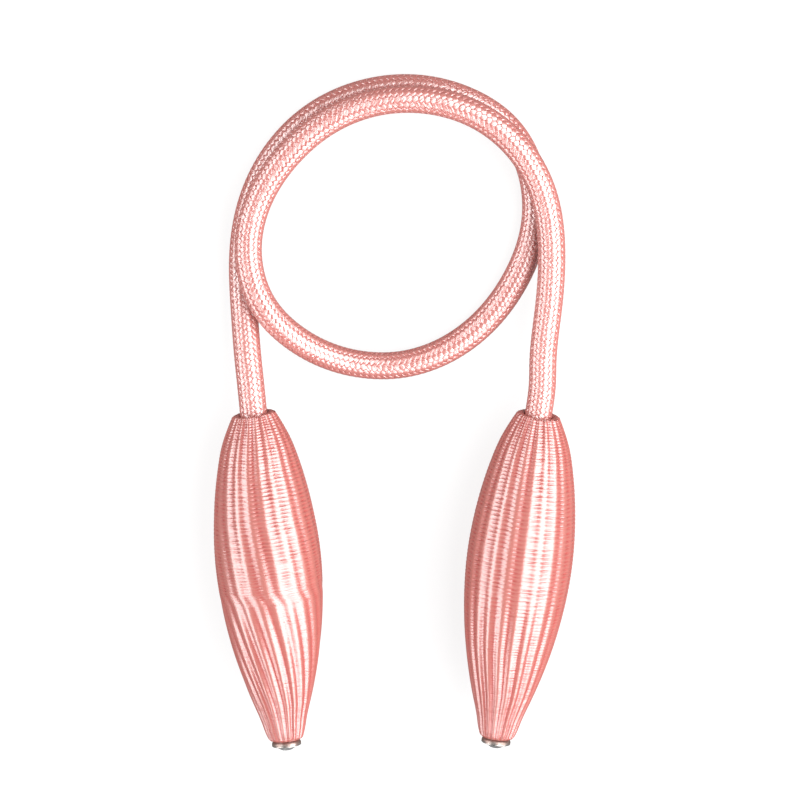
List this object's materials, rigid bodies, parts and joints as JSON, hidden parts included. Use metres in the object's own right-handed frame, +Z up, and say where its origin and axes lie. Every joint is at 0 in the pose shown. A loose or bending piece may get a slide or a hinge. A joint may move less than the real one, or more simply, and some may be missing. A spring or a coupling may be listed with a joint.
{
  "type": "curtain tieback",
  "caption": "Bendable curtain tieback lying flat: a braided satin rope in an overlapping loop, with a ribbed yarn-wound bobbin, metal cup and cut stone on each end.",
  "frame": {"origin": "on the surface that the tieback lies on, under the middle of its two bobbins", "axes": "+Z up from that surface; +Y from the bobbins towards the rope's loop; +X across, from the left bobbin to the right one"},
  "size_m": [0.0904, 0.1694, 0.0265],
  "materials": {
    "satin_braid": "glossy coral-pink satin yarn, braided in fine herringbone stitches",
    "satin_yarn": "glossy coral-pink satin yarn, wound in fine turns over lengthwise ribs",
    "bright_steel": "thin bright pressed steel, a little tarnished at the edge",
    "cut_stone": "clear foil-backed cut stone"
  },
  "bodies": {
    "root": {"rope": "satin_braid", "bobbin_left": "satin_yarn", "bobbin_right": "satin_yarn", "cup_left": "bright_steel", "cup_right": "bright_steel", "stone_left": "cut_stone", "stone_right": "cut_stone"}
  },
  "joints": []
}
